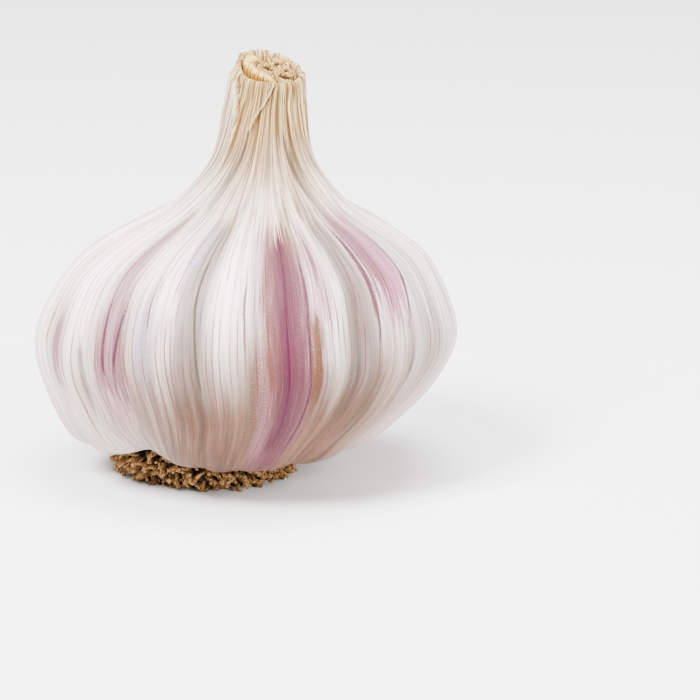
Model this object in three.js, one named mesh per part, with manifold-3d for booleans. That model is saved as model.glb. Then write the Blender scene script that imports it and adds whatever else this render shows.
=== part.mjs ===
// Garlic bulb: cloves wrapped in papery skin that is drawn up into a cut neck, standing on its
// tuft of root stubs. Millimetres, +Z up. The origin is the middle of the flat spot that the
// root tuft rests on, and the front of the bulb looks towards -Y.
import * as THREE from 'three';
import { mergeVertices } from 'three/addons/utils/BufferGeometryUtils.js';
import Module from 'manifold-3d';

const wasm = await Module();
wasm.setup();

const GAP = 0.3; // air between touching pieces
const DEPTH_RATIO = 0.95; // the bulb is a little narrower front to back

// Skin: outline from the middle of the underside, round the belly and up to the cut (radius, height)
const SKIN_PROFILE = [
  [0, 7.2], [5, 7.1], [9, 6.6], [13.4, 5.1], [17.8, 4.5], [22.0, 5.8], [25.2, 9.0],
  [29.0, 14.7], [30.8, 20.3], [29.3, 25.7], [25.5, 31.8], [20.2, 35.8], [14.0, 39.2],
  [11.1, 41.7], [8.4, 45.2], [6.9, 48.9], [6.05, 54.0], [5.6, 58.3], [5.45, 60.2], [5.1, 61.0],
];
// The axis of the bulb wanders sideways as it rises (height, shift to +X)
const SPINE = [
  [0, 1.6], [6, 2.4], [9, 3.2], [14, 4.7], [20, 5.7], [30, 6.6], [40, 7.9], [48, 8.5], [54, 8.9],
  [58, 9.2], [61, 9.4],
];
const SKIN_COLUMNS = 90;
const ROWS_PER_SPAN = 2;

// Valleys between the cloves (angle in degrees, depth, width in degrees)
const VALLEYS = [
  [-171, 1.3, 6], [-137, 0.5, 8], [-109, 1.2, 7], [-88, 0.7, 6], [-53, 1.2, 8], [-20, 1.4, 9],
  [18, 1.2, 8], [55, 1.5, 9], [95, 1.3, 8], [130, 1.4, 9], [160, 1.0, 8],
];
const VALLEY_FADE = [8, 17]; // radii between which the valleys grow in
const EDGE_LIFT = 0.15; // how far a valley lifts the skin's lower edge, per mm of depth
const EDGE_LIFT_END = [5, 12];

// At the front left the skin arches up over the roots, and the root plate rises into the arch
const ARCH_RISE = 2.4;
const ARCH_ANGLE = -139;
const ARCH_WIDTH = 18; // degrees
const ARCH_RADII = [6, 14]; // radii between which the arch grows in
const ARCH_END = [5, 13]; // heights between which it fades out
const PLATE_ARCH_ANGLE = -123; // the same place, seen from the middle of the root plate
const PLATE_ARCH_HEIGHTS = [0.5, 2.5]; // heights between which the rise grows in

// Creases and deep grooves: angle at the low end and at the high end, depth, width in degrees,
// and the heights where the groove begins and ends
const GROOVES = [
  [-150, -148, 0.6, 2.2, 9, 27],
  [-134, -129, 1.0, 4, 37, 52],
  [-38, -52, 0.9, 4, 38, 52],
  [40, 55, 1.0, 6, 37, 50],
  [140, 128, 1.0, 6, 38, 52],
];

// The veins draw towards the front as they run down the belly
const LOW_GATHER = 0.3;
const LOW_GATHER_ANGLE = -70;
const LOW_GATHER_HEIGHTS = [5, 38];

// Neck: pleats, the gathering of the leaves towards the front, and the slanting cut
const PLEATS = [[26, 0.14, 0.4], [17, 0.12, 1.9], [11, 0.06, 4.0]]; // count, depth, phase
// The pleats shift sideways in waves, so that their spacing varies (count, amount, phase)
const PLEAT_WANDER = [3, 1.5, 1];
const PLEAT_HEIGHTS = [36, 48];
const GATHER = 0.5;
const GATHER_ANGLE = -85;
const GATHER_HEIGHTS = [38, 56];
const CUT_START = 54; // height above which the neck is stretched to meet the cut
const PROFILE_TOP = 61;
const CUT_HEIGHT = 59.8;
const CUT_SLOPE_X = -0.23;
const CUT_SLOPE_Y = 0.32;

// At the front left the rim is lower than the rolled leaf inside it
const RIM_DIP = 0.9;
const RIM_DIP_ANGLE = -145;
const RIM_DIP_WIDTH = 45;

// A torn outer leaf laps the left of the neck
const FLAP_THICKNESS = 0.4;
const FLAP_ANGLES = [-168, -252];
const FLAP_EDGE = 4; // degrees over which its side edge falls away
const FLAP_TOP = [58.8, 59.8];
const FLAP_FOOT = [42, 56];

// A second leaf laps the front of the neck; its edge slants from the rim down to the left
const LAP_THICKNESS = 0.3;
const LAP_EDGE_TOP = [-82, 60]; // angle, height
const LAP_EDGE_FOOT = [-136, 50];
const LAP_EDGE = 4; // degrees over which the edge falls away
const LAP_WIDTH = 45; // degrees behind the edge over which the leaf thins out
const LAP_FOOT = [46, 53];

// Socket in the cut end of the neck, with what stands in it
const SOCKET_RADIUS = 4.1;
const SOCKET_DEPTH = 5.2;
const RIM_ROUND = 0.3; // how far the inside of the rim lies under its top
const SHEATH_OUTER = SOCKET_RADIUS - GAP;
const SHEATH_THICKNESS = 1.3;
const SHEATH_ANGLES = [118, 292]; // crescent round the left and the front of the socket
const SHEATH_STATIONS = 22;
const SHEATH_RISE = 0.25; // how far its round top stands over the cut
const SHEATH_ROUND = 0.5; // height of its round lip
const SHEATH_DROOP = 1.4; // how far its two ends slope down
const CORE_COLUMNS = 30;
const CORE_RINGS = 7;
const CORE_GRAIN = 0.4;
const CORE_TOP = 0.1; // how far its highest grain lies under the cut
const CORE_SHOULDER = 0.7;
const CORE_FLAT_SHARE = 0.96; // share of its radius that the grainy top takes up
const CORE_MARGIN = 9; // degrees over which it narrows beside the sheath
const CORE_SEED = 3;

// Root tuft: woody base plate with crooked root stubs
const PLATE_PROFILE = [
  [0, -0.6], [10.2, -0.6], [11.4, 0.5], [12.4, 1.5], [13.1, 2.5], [13.0, 3.3], [11.6, 3.9],
];
const PLATE_COLUMNS = 36;
const PLATE_ROUGHNESS = 0.7;
const PLATE_ROUGH_RADII = [7, 10]; // radii between which the roughness grows in
const PLATE_DOME = 0.9;
const ROOT_COUNT = 104;
const ROOT_SIDES = 3;
const ROOT_WIDTH = 0.88;
const ROOT_WIDTH_SPREAD = [0.8, 1.2];
const ROOT_SPREAD = 0.3; // how far a root strays from its even place, in radians
const ROOT_OUTWARD = [0.5, 1]; // how far the lowest and the highest root point outwards
const ROOT_DOWNWARD = [1, 0.2];
const ROOT_TAPER = 0.4;
const ROOT_SUNK = 1.3;
const ROOT_LENGTH = [1.1, 2.3];
const ROOT_JOINTS = 3;
const ROOT_CURL = 0.9;
const ROOT_RADII = [10.6, 13.0];
const ROOT_HEIGHTS = [0.7, 3.3];
const ROOT_SEED = 17;
const FLOOR_BLOCK = 60;
const UNDERSIDE_POINTS = 13; // points of the skin outline that lie over the tuft

const COLOURS = {
  skin: 0xe6dfdc,
  sheath: 0xdfc48c,
  core: 0xcdb184,
  root: 0x8a6a42,
};

const radians = THREE.MathUtils.degToRad;
const smooth = THREE.MathUtils.smoothstep;
const lerp = THREE.MathUtils.lerp;

// Numbers between 0 and 1, the same at every run
function randomFrom(seed) {
  let state = seed;
  return () => {
    state = (state * 16807) % 2147483647;
    return state / 2147483647;
  };
}

function curveOf(pairs) {
  return new THREE.SplineCurve(pairs.map(([a, b]) => new THREE.Vector2(a, b)));
}

function table(pairs, x) {
  const last = pairs.length - 1;
  if (x <= pairs[0][0]) return pairs[0][1];
  if (x >= pairs[last][0]) return pairs[last][1];
  const i = pairs.findIndex(([key]) => key > x);
  const [x0, y0] = pairs[i - 1];
  const [x1, y1] = pairs[i];
  return lerp(y0, y1, (x - x0) / (x1 - x0));
}

// Signed angle from one direction to another, within half a turn
function turnBetween(from, to) {
  const turn = to - from;
  return Math.atan2(Math.sin(turn), Math.cos(turn));
}

function bell(angle, centre, width) {
  const turn = turnBetween(radians(centre), angle) / radians(width);
  return Math.exp(-turn * turn);
}

function valleyDepth(angle, radius) {
  const sum = VALLEYS.reduce((total, [centre, depth, width]) =>
    total + depth * bell(angle, centre, width), 0);
  return sum * smooth(radius, ...VALLEY_FADE);
}

function archRise(angle, radius, height) {
  const share = smooth(radius, ...ARCH_RADII) * (1 - smooth(height, ...ARCH_END));
  return ARCH_RISE * share * bell(angle, ARCH_ANGLE, ARCH_WIDTH);
}

function plateRise(angle) {
  return ARCH_RISE * bell(angle, PLATE_ARCH_ANGLE, ARCH_WIDTH);
}

function grooveDepth(angle, height) {
  return GROOVES.reduce((total, [low, high, depth, width, start, end]) => {
    const along = (height - start) / (end - start);
    if (along <= 0 || along >= 1) return total;
    const fade = Math.sin(Math.PI * along);
    return total + depth * fade * bell(angle, lerp(low, high, along), width);
  }, 0);
}

function pleatDepth(angle, height) {
  const [wanderCount, wanderAmount, wanderPhase] = PLEAT_WANDER;
  const wander = wanderAmount * Math.sin(wanderCount * angle + wanderPhase);
  const waves = PLEATS.reduce((total, [count, depth, phase]) =>
    total + depth * (1 + Math.sin(count * angle + phase + wander)), 0);
  return waves * smooth(height, ...PLEAT_HEIGHTS);
}

function flapHeight(angle, height) {
  const middle = radians((FLAP_ANGLES[0] + FLAP_ANGLES[1]) / 2);
  const half = radians(Math.abs(FLAP_ANGLES[0] - FLAP_ANGLES[1]) / 2);
  const inside = half - Math.abs(turnBetween(middle, angle));
  const side = smooth(inside, 0, radians(FLAP_EDGE));
  return FLAP_THICKNESS * side * smooth(height, ...FLAP_FOOT) * (1 - smooth(height, ...FLAP_TOP));
}

function lapHeight(angle, height) {
  const along = (height - LAP_EDGE_FOOT[1]) / (LAP_EDGE_TOP[1] - LAP_EDGE_FOOT[1]);
  const edge = lerp(LAP_EDGE_FOOT[0], LAP_EDGE_TOP[0], along);
  const behind = turnBetween(angle, radians(edge));
  const side = smooth(behind, 0, radians(LAP_EDGE)) * (1 - smooth(behind, 0, radians(LAP_WIDTH)));
  return LAP_THICKNESS * side * smooth(height, ...LAP_FOOT);
}

function rimDip(angle) {
  return RIM_DIP * bell(angle, RIM_DIP_ANGLE, RIM_DIP_WIDTH);
}

function gathered(angle, height) {
  const high = GATHER * smooth(height, ...GATHER_HEIGHTS);
  const low = LOW_GATHER * (1 - smooth(height, ...LOW_GATHER_HEIGHTS));
  return angle + high * Math.sin(radians(GATHER_ANGLE) - angle)
    + low * Math.sin(radians(LOW_GATHER_ANGLE) - angle);
}

function cutHeight(x, y) {
  return CUT_HEIGHT + CUT_SLOPE_X * x + CUT_SLOPE_Y * y;
}

// A point at an offset from the bulb's wandering axis; above CUT_START heights follow the cut
function place(angle, radius, height) {
  const x = radius * Math.cos(angle);
  const y = DEPTH_RATIO * radius * Math.sin(angle);
  const stretch = (height - CUT_START) / (PROFILE_TOP - CUT_START);
  const z = stretch > 0 ? lerp(CUT_START, cutHeight(x, y) - rimDip(angle), stretch) : height;
  return [table(SPINE, height) + x, y, z];
}

function skinPoint(angle, radius, height) {
  const valley = valleyDepth(angle, radius);
  const dents = valley + grooveDepth(angle, height) + pleatDepth(angle, height);
  const lift = EDGE_LIFT * valley * (1 - smooth(height, ...EDGE_LIFT_END));
  const outward = radius - dents + flapHeight(angle, height) + lapHeight(angle, height);
  const raised = height + lift + archRise(angle, radius, height);
  return place(gathered(angle, height), outward, raised);
}

// Closed body from rings of points between two end points
function ringBody(rings, start, end) {
  const columns = rings[0].length;
  const positions = [start, ...rings.flat(), end];
  const at = (ring, column) => 1 + ring * columns + (column % columns);
  const indices = [];
  for (let c = 0; c < columns; c += 1) {
    indices.push(0, at(0, c + 1), at(0, c));
    indices.push(positions.length - 1, at(rings.length - 1, c), at(rings.length - 1, c + 1));
  }
  for (let r = 0; r < rings.length - 1; r += 1) {
    for (let c = 0; c < columns; c += 1) {
      indices.push(at(r, c), at(r, c + 1), at(r + 1, c + 1));
      indices.push(at(r, c), at(r + 1, c + 1), at(r + 1, c));
    }
  }
  const geometry = new THREE.BufferGeometry();
  geometry.setAttribute('position', new THREE.Float32BufferAttribute(positions.flat(), 3));
  geometry.setIndex(indices);
  return geometry;
}

function ring(columns, pointAt) {
  return Array.from({ length: columns }, (_, c) => pointAt((c / columns) * Math.PI * 2, c));
}

// Bulb: skin from underneath up to the cut, over the rim and down the socket
function bulbGeometry() {
  const curve = curveOf(SKIN_PROFILE);
  const steps = (SKIN_PROFILE.length - 1) * ROWS_PER_SPAN;
  const outline = curve.getPoints(steps).slice(1);
  const rings = outline.map((p) => ring(SKIN_COLUMNS, (a) => skinPoint(a, p.x, p.y)));
  rings.push(ring(SKIN_COLUMNS, (a) => {
    const turned = gathered(a, PROFILE_TOP);
    return socketPoint(turned, SOCKET_RADIUS, PROFILE_TOP - RIM_ROUND - rimDip(turned));
  }));
  [SOCKET_RADIUS, SOCKET_RADIUS / 2].forEach((radius) => {
    rings.push(ring(SKIN_COLUMNS, (a) =>
      socketPoint(gathered(a, PROFILE_TOP), radius, PROFILE_TOP - SOCKET_DEPTH)));
  });
  const start = place(0, 0, SKIN_PROFILE[0][1]);
  return ringBody(rings, start, socketPoint(0, 0, PROFILE_TOP - SOCKET_DEPTH));
}

// Points in the socket are measured down from the slanting cut, round its own straight axis
function socketPoint(angle, radius, height) {
  const x = radius * Math.cos(angle);
  const y = DEPTH_RATIO * radius * Math.sin(angle);
  return [table(SPINE, PROFILE_TOP) + x, y, cutHeight(x, y) + height - PROFILE_TOP];
}

// Inner leaf sheath: a thick rounded crescent
function sheathGeometry() {
  const floor = PROFILE_TOP - SOCKET_DEPTH + GAP;
  const top = PROFILE_TOP + SHEATH_RISE;
  const outer = SHEATH_OUTER;
  const inner = SHEATH_OUTER - SHEATH_THICKNESS;
  const middle = (inner + outer) / 2;
  const quarter = SHEATH_THICKNESS / 4;
  const section = [
    [inner, floor], [outer, floor], [outer, top - SHEATH_ROUND],
    [middle + quarter, top - SHEATH_ROUND / 3], [middle, top],
    [middle - quarter, top - SHEATH_ROUND / 3], [inner, top - SHEATH_ROUND],
  ];
  const rings = [];
  for (let s = 0; s <= SHEATH_STATIONS; s += 1) {
    const along = s / SHEATH_STATIONS;
    const angle = radians(lerp(SHEATH_ANGLES[1], SHEATH_ANGLES[0], along));
    const droop = SHEATH_DROOP * (2 * along - 1) ** 6;
    rings.push(section.map(([radius, height]) =>
      socketPoint(angle, radius, height > floor ? height - droop : height)));
  }
  return ringBody(rings, middleOf(rings[0]), middleOf(rings[rings.length - 1]));
}

function middleOf(points) {
  return [0, 1, 2].map((axis) =>
    points.reduce((sum, point) => sum + point[axis], 0) / points.length);
}

// Cut stem: a plug that fills the socket beside the sheath, with a grainy top
function coreRadius(angle) {
  const [from, to] = SHEATH_ANGLES.map(radians);
  const margin = radians(CORE_MARGIN);
  const middle = (from + to) / 2;
  const inside = (to - from) / 2 + margin - Math.abs(turnBetween(middle, angle));
  const narrow = SHEATH_OUTER - SHEATH_THICKNESS - GAP;
  return lerp(SHEATH_OUTER, narrow, smooth(inside, -margin, 0));
}

function coreGeometry() {
  const random = randomFrom(CORE_SEED);
  const floor = PROFILE_TOP - SOCKET_DEPTH + GAP;
  const side = (height) => ring(CORE_COLUMNS, (a) => socketPoint(a, coreRadius(a), height));
  const rings = [side(floor), side(PROFILE_TOP - CORE_SHOULDER)];
  const top = PROFILE_TOP - CORE_TOP;
  for (let r = CORE_RINGS; r > 0; r -= 1) {
    const share = (r / CORE_RINGS) * CORE_FLAT_SHARE;
    rings.push(ring(CORE_COLUMNS, (a) =>
      socketPoint(a, coreRadius(a) * share, top - CORE_GRAIN * random())));
  }
  return ringBody(rings, socketPoint(0, 0, floor), socketPoint(0, 0, top));
}

// Root tuft: plate under the skin, crooked stubs round and below it, cut flat by the floor
function plateGeometry(random) {
  const outline = curveOf(PLATE_PROFILE).getPoints((PLATE_PROFILE.length - 1) * 2).slice(1);
  const rings = outline.map((p) => ring(PLATE_COLUMNS, (a) => {
    const wobble = PLATE_ROUGHNESS * (random() - 0.5) * smooth(p.x, ...PLATE_ROUGH_RADII);
    const height = p.y + plateRise(a) * smooth(p.y, ...PLATE_ARCH_HEIGHTS);
    return [(p.x + wobble) * Math.cos(a), (p.x + wobble) * Math.sin(a), height];
  }));
  const top = PLATE_PROFILE.at(-1)[1] + PLATE_DOME;
  return ringBody(rings, [0, 0, PLATE_PROFILE[0][1]], [0, 0, top]);
}

function rootGeometry(random, index) {
  const golden = Math.PI * (3 - Math.sqrt(5));
  const angle = index * golden + random() * ROOT_SPREAD;
  const share = (index + 0.5) / ROOT_COUNT;
  const radius = lerp(...ROOT_RADII, Math.sqrt(share));
  const height = lerp(...ROOT_HEIGHTS, share);
  const out = new THREE.Vector3(Math.cos(angle), Math.sin(angle), 0);
  const heading = out.clone().multiplyScalar(lerp(...ROOT_OUTWARD, share));
  heading.z = -lerp(...ROOT_DOWNWARD, share);
  heading.normalize();
  const length = lerp(...ROOT_LENGTH, random());
  const point = out.clone().multiplyScalar(radius).setZ(height);
  point.addScaledVector(heading, -ROOT_SUNK);
  const step = (length + ROOT_SUNK) / ROOT_JOINTS;
  const rings = [];
  for (let j = 0; j <= ROOT_JOINTS; j += 1) {
    const taper = 1 - ROOT_TAPER * (j / ROOT_JOINTS);
    const width = ROOT_WIDTH * taper * lerp(...ROOT_WIDTH_SPREAD, random());
    rings.push(rootRing(point, heading, width, random()));
    heading.x += ROOT_CURL * (random() - 0.5);
    heading.y += ROOT_CURL * (random() - 0.5);
    heading.z += ROOT_CURL * (random() - 0.5);
    heading.normalize();
    point.addScaledVector(heading, step);
  }
  return ringBody(rings, middleOf(rings[0]), middleOf(rings[ROOT_JOINTS]));
}

function rootRing(centre, heading, width, spin) {
  const side = new THREE.Vector3(0, 0, 1).cross(heading).normalize();
  const up = heading.clone().cross(side);
  return ring(ROOT_SIDES, (a) => centre.clone()
    .addScaledVector(side, width * Math.cos(a + spin))
    .addScaledVector(up, width * Math.sin(a + spin))
    .toArray());
}

function solidOf(geometry) {
  const bare = geometry.index ? geometry.clone() : geometry;
  bare.deleteAttribute('normal');
  bare.deleteAttribute('uv');
  const closed = mergeVertices(bare);
  return new wasm.Manifold(new wasm.Mesh({
    numProp: 3,
    vertProperties: new Float32Array(closed.attributes.position.array),
    triVerts: new Uint32Array(closed.index.array),
  }));
}

function geometryOf(solid) {
  const mesh = solid.getMesh();
  const geometry = new THREE.BufferGeometry();
  geometry.setAttribute('position', new THREE.Float32BufferAttribute(mesh.vertProperties, 3));
  geometry.setIndex(Array.from(mesh.triVerts));
  return geometry;
}

function tuftGeometry() {
  const random = randomFrom(ROOT_SEED);
  let tuft = solidOf(plateGeometry(random));
  for (let i = 0; i < ROOT_COUNT; i += 1) {
    tuft = tuft.add(solidOf(rootGeometry(random, i)));
  }
  const below = new THREE.BoxGeometry(FLOOR_BLOCK, FLOOR_BLOCK, FLOOR_BLOCK);
  below.translate(0, 0, -FLOOR_BLOCK / 2);
  return geometryOf(tuft.subtract(solidOf(below)).subtract(solidOf(underSkinGeometry())));
}

// The space that the bulb takes up over the tuft, grown by the gap
function underSkinGeometry() {
  const curve = curveOf(SKIN_PROFILE);
  const outline = curve.getPoints((SKIN_PROFILE.length - 1) * ROWS_PER_SPAN).slice(1, UNDERSIDE_POINTS + 1);
  const rings = outline.map((p) => ring(SKIN_COLUMNS, (a) => {
    const [x, y, z] = skinPoint(a, p.x, p.y);
    return [x, y, z - GAP];
  }));
  const [x, y, z] = place(0, 0, SKIN_PROFILE[0][1]);
  return ringBody(rings, [x, y, z - GAP], [x, y, z + FLOOR_BLOCK / 2]);
}

function addMesh(group, name, geometry, color, roughness) {
  const shown = geometry.index ? geometry.toNonIndexed() : geometry;
  shown.computeVertexNormals();
  const material = new THREE.MeshStandardMaterial({ color, roughness, metalness: 0 });
  const mesh = new THREE.Mesh(shown, material);
  mesh.name = name;
  group.add(mesh);
}

const garlic = new THREE.Group();
garlic.name = 'garlic_bulb';
addMesh(garlic, 'bulb', bulbGeometry(), COLOURS.skin, 0.5);
addMesh(garlic, 'inner_sheath', sheathGeometry(), COLOURS.sheath, 0.6);
addMesh(garlic, 'stem_core', coreGeometry(), COLOURS.core, 0.9);
addMesh(garlic, 'root_tuft', tuftGeometry(), COLOURS.root, 0.9);

export default garlic;
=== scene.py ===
# %% [markdown]
# # Garlic bulb
# A whole garlic bulb stands on its tuft of roots. Papery skin wraps the cloves, gathers into a
# pleated neck and ends in a slanting cut, where a rolled inner leaf and the grainy stem show.
# The fixed frame gives the place and size of every piece; this script replaces each piece with a
# finer one of the same form and gives it its finish.

# %% Load the frame
import math

import bpy
import numpy as np
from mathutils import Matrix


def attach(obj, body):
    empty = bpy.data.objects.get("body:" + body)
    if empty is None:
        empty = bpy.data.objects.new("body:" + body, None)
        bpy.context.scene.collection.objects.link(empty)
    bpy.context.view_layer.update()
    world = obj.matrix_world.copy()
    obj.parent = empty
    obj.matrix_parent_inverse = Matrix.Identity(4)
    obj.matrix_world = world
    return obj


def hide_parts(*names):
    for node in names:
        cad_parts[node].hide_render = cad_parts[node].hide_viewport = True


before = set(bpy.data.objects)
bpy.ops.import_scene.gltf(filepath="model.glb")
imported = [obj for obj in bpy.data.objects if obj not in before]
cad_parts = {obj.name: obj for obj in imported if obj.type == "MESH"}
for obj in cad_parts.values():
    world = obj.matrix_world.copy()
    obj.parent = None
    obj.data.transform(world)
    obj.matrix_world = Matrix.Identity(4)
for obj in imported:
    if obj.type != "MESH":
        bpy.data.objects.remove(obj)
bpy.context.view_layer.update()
MM = 0.001
print("frame nodes", sorted(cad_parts))

# %% [markdown]
# ## The skin's form
# The bulb is a body of revolution that grew unevenly. One outline gives radius and height from the
# middle of the underside up to the cut, and a table shifts each height sideways, since the neck
# stands off centre. Valleys between the cloves, grooves, pleats and the torn leaf are then
# taken from or added to the radius. Formulas are the right tool here, because the same numbers
# that shaped the solid shape the fine skin, so both agree everywhere.

# %% Numbers of the skin
PROFILE = np.array([
    [0, 7.2], [5, 7.1], [9, 6.6], [13.4, 5.1], [17.8, 4.5], [22.0, 5.8], [25.2, 9.0],
    [29.0, 14.7], [30.8, 20.3], [29.3, 25.7], [25.5, 31.8], [20.2, 35.8], [14.0, 39.2],
    [11.1, 41.7], [8.4, 45.2], [6.9, 48.9], [6.05, 54.0], [5.6, 58.3], [5.45, 60.2], [5.1, 61.0]])
SPINE = np.array([
    [0, 1.6], [6, 2.4], [9, 3.2], [14, 4.7], [20, 5.7], [30, 6.6], [40, 7.9], [48, 8.5], [54, 8.9],
    [58, 9.2], [61, 9.4]])
DEPTH_RATIO = 0.95
# Valleys: angle, depth, width. Grooves: low angle, high angle, depth, width, start, end.
VALLEYS = [
    (-171, 1.3, 6), (-137, 0.5, 8), (-109, 1.2, 7), (-88, 0.7, 6), (-53, 1.2, 8), (-20, 1.4, 9),
    (18, 1.2, 8), (55, 1.5, 9), (95, 1.3, 8), (130, 1.4, 9), (160, 1.0, 8)]
GROOVES = [
    (-150, -148, 0.6, 2.2, 9, 27), (-134, -129, 1.0, 4, 37, 52), (-38, -52, 0.9, 4, 38, 52),
    (40, 55, 1.0, 6, 37, 50), (140, 128, 1.0, 6, 38, 52)]
PLEATS = [(26, 0.14, 0.4), (17, 0.12, 1.9), (11, 0.06, 4.0)]
FINE_PLEATS = [(47, 0.07, 1.0), (71, 0.05, 2.2), (103, 0.035, 0.3)]
RIBS = [(37, 0.06, 0.7), (59, 0.05, 2.0), (83, 0.035, 4.1)]  # soft lengthwise ribs of the belly
# Small wrinkles of the outer leaf, too fine for the solid, listed like the grooves.
WRINKLES = [
    (-151, -148, 0.40, 1.1, 9, 27), (-146, -150, 0.25, 0.9, 15, 24), (-141, -147, 0.22, 0.9, 9, 18),
    (-100, -90, 0.22, 0.9, 16, 23), (-95, -91, 0.18, 0.8, 12, 20), (-119, -114, 0.20, 0.9, 24, 38),
    (-30, -36, 0.25, 1.0, 12, 24), (26, 31, 0.30, 1.0, 10, 26), (101, 96, 0.30, 1.1, 12, 30),
    (176, 171, 0.25, 1.0, 9, 22)]
VALLEY_FADE = (8, 17)  # radii between which the valleys grow in
EDGE_LIFT, EDGE_LIFT_END = 0.15, (5, 12)  # a valley lifts the skin's lower edge
# The skin arches up over the roots at the front left, and the root plate rises with it.
ARCH_RISE, ARCH_ANGLE, ARCH_WIDTH, PLATE_ARCH_ANGLE = 2.4, -139, 18, -123
ARCH_RADII, ARCH_END, PLATE_ARCH_HEIGHTS = (6, 14), (5, 13), (0.5, 2.5)
PLEAT_HEIGHTS, PLEAT_WANDER = (36, 48), (3, 1.5, 1)
RIB_RADII, RIB_WANDER, RIB_TWIST = (10, 22), (2, 2.2, 0.4), 0.02
# Torn outer leaf at the left of the neck: middle and half width in degrees, and the slant of
# its side edge in degrees per mm under a height.
FLAP_ANGLE, FLAP_HALF, FLAP_SLANT, FLAP_SLANT_TOP = -210, 42, 2.5, 55.6
FLAP_THICKNESS, FLAP_FOOT, FLAP_TOP = 0.4, (42, 56), (58.8, 59.8)
# Second leaf over the front of the neck: where its slanting edge is at one height, how far the
# edge turns per mm, and over how many degrees the leaf thins out behind it.
LAP_ANGLE, LAP_HEIGHT, LAP_TURN, LAP_WIDTH = -136, 50, 5.4, 45
LAP_THICKNESS, LAP_FOOT = 0.3, (46, 53)
LEAF_EDGE = 1.5  # degrees over which the edge of a torn leaf falls away
RIM_DIP, RIM_DIP_ANGLE, RIM_DIP_WIDTH = 0.9, -145, 45
# The leaves gather towards one side: share, angle, heights. High up, and low on the belly.
GATHER, GATHER_ANGLE, GATHER_HEIGHTS = 0.5, -85, (38, 56)
LOW_GATHER, LOW_GATHER_ANGLE, LOW_GATHER_HEIGHTS = 0.3, -70, (5, 38)
CUT_START, PROFILE_TOP = 54.0, 61.0
CUT_HEIGHT, CUT_SLOPE_X, CUT_SLOPE_Y = 59.8, -0.23, 0.32
SOCKET_RADIUS, GAP, PIECE_FLOOR = 4.1, 0.3, 56.2
SEAM = 95.0  # degrees, in a valley at the back, where the skin's coordinates begin and end


# %% Formulas of the skin
def smooth(low, high, x):
    w = np.clip((x - low) / (high - low), 0, 1)
    return w * w * (3 - 2 * w)


def spline(points, s):
    """Catmull-Rom curve through points, s counted in points."""
    i = np.clip(np.floor(s).astype(int), 0, len(points) - 2)
    w = (s - i)[..., None]
    p0, p1 = points[np.maximum(i - 1, 0)], points[i]
    p2, p3 = points[i + 1], points[np.minimum(i + 2, len(points) - 1)]
    v0, v1 = (p2 - p0) / 2, (p3 - p1) / 2
    return (2 * (p1 - p2) + v0 + v1) * w**3 + (3 * (p2 - p1) - 2 * v0 - v1) * w**2 + v0 * w + p1


def turn(angle, centre):
    """Signed angle in degrees from centre, within half a turn."""
    return (angle - centre + 180) % 360 - 180


def bell(angle, centre, width):
    return np.exp(-(turn(angle, centre) / width) ** 2)


def valley_depth(angle, radius):
    return sum(d * bell(angle, c, w) for c, d, w in VALLEYS) * smooth(*VALLEY_FADE, radius)


def arch_rise(angle, radius, height):
    """At the front left the skin arches up over the roots."""
    share = smooth(*ARCH_RADII, radius) * (1 - smooth(*ARCH_END, height))
    return ARCH_RISE * share * bell(angle, ARCH_ANGLE, ARCH_WIDTH)


def groove_depth(angle, height, grooves=GROOVES):
    total = 0
    for low, high, depth, width, start, end in grooves:
        along = np.clip((height - start) / (end - start), 0, 1)
        centre = low + (high - low) * along
        total = total + depth * np.sin(np.pi * along) * bell(angle, centre, width)
    return total


def pleat_depth(angle, height, pleats):
    a = np.radians(angle)
    count, amount, phase = PLEAT_WANDER
    wander = amount * np.sin(count * a + phase)
    waves = sum(d * (1 + np.sin(n * a + p + wander)) for n, d, p in pleats)
    return waves * smooth(*PLEAT_HEIGHTS, height)


def rib_depth(angle, radius, height):
    a = np.radians(angle)
    count, amount, phase = RIB_WANDER
    wander = amount * np.sin(count * a + phase) + RIB_TWIST * height
    waves = sum(d * (1 + np.sin(n * a + p + wander)) for n, d, p in RIBS)
    return waves * smooth(*RIB_RADII, radius)


def inside_flap(angle, height):
    """Degrees inside the torn outer leaf at the left of the neck."""
    side = turn(angle, FLAP_ANGLE)
    return FLAP_HALF - np.abs(side) + FLAP_SLANT * (FLAP_SLANT_TOP - height) * (side > 0)


def flap_height(angle, height):
    side = smooth(0, LEAF_EDGE, inside_flap(angle, height))
    return FLAP_THICKNESS * side * smooth(*FLAP_FOOT, height) * (1 - smooth(*FLAP_TOP, height))


def behind_lap(angle, height):
    """Degrees behind the second leaf's edge, which slants down over the front of the neck."""
    return -turn(angle, LAP_ANGLE + LAP_TURN * (height - LAP_HEIGHT))


def lap_height(angle, height):
    behind = behind_lap(angle, height)
    side = smooth(0, LEAF_EDGE, behind) * (1 - smooth(0, LAP_WIDTH, behind))
    return LAP_THICKNESS * side * smooth(*LAP_FOOT, height)


def edge_mark(angle, height):
    """Painted highlight on a torn leaf's edge above zero, painted shadow beside it below zero."""
    # degrees inside the edge, width of the painted highlight, strength at this height
    edges = ((behind_lap(angle, height), 4.0, 0.7 * smooth(48, 55, height)),
             (inside_flap(angle, height), 2.5, 0.8 * smooth(52.5, 54, height)))
    marks = 0
    for inside, width, share in edges:
        edge_highlight = np.exp(-((inside - width) / width) ** 2)
        dark = np.exp(-((inside + 0.6 * width) / (0.8 * width)) ** 2)
        marks = marks + (edge_highlight - 1.3 * dark) * share
    return marks


def rim_dip(a):
    """The rim is lower at the front left, in front of the rolled leaf."""
    return RIM_DIP * bell(np.degrees(a), RIM_DIP_ANGLE, RIM_DIP_WIDTH)


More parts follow.
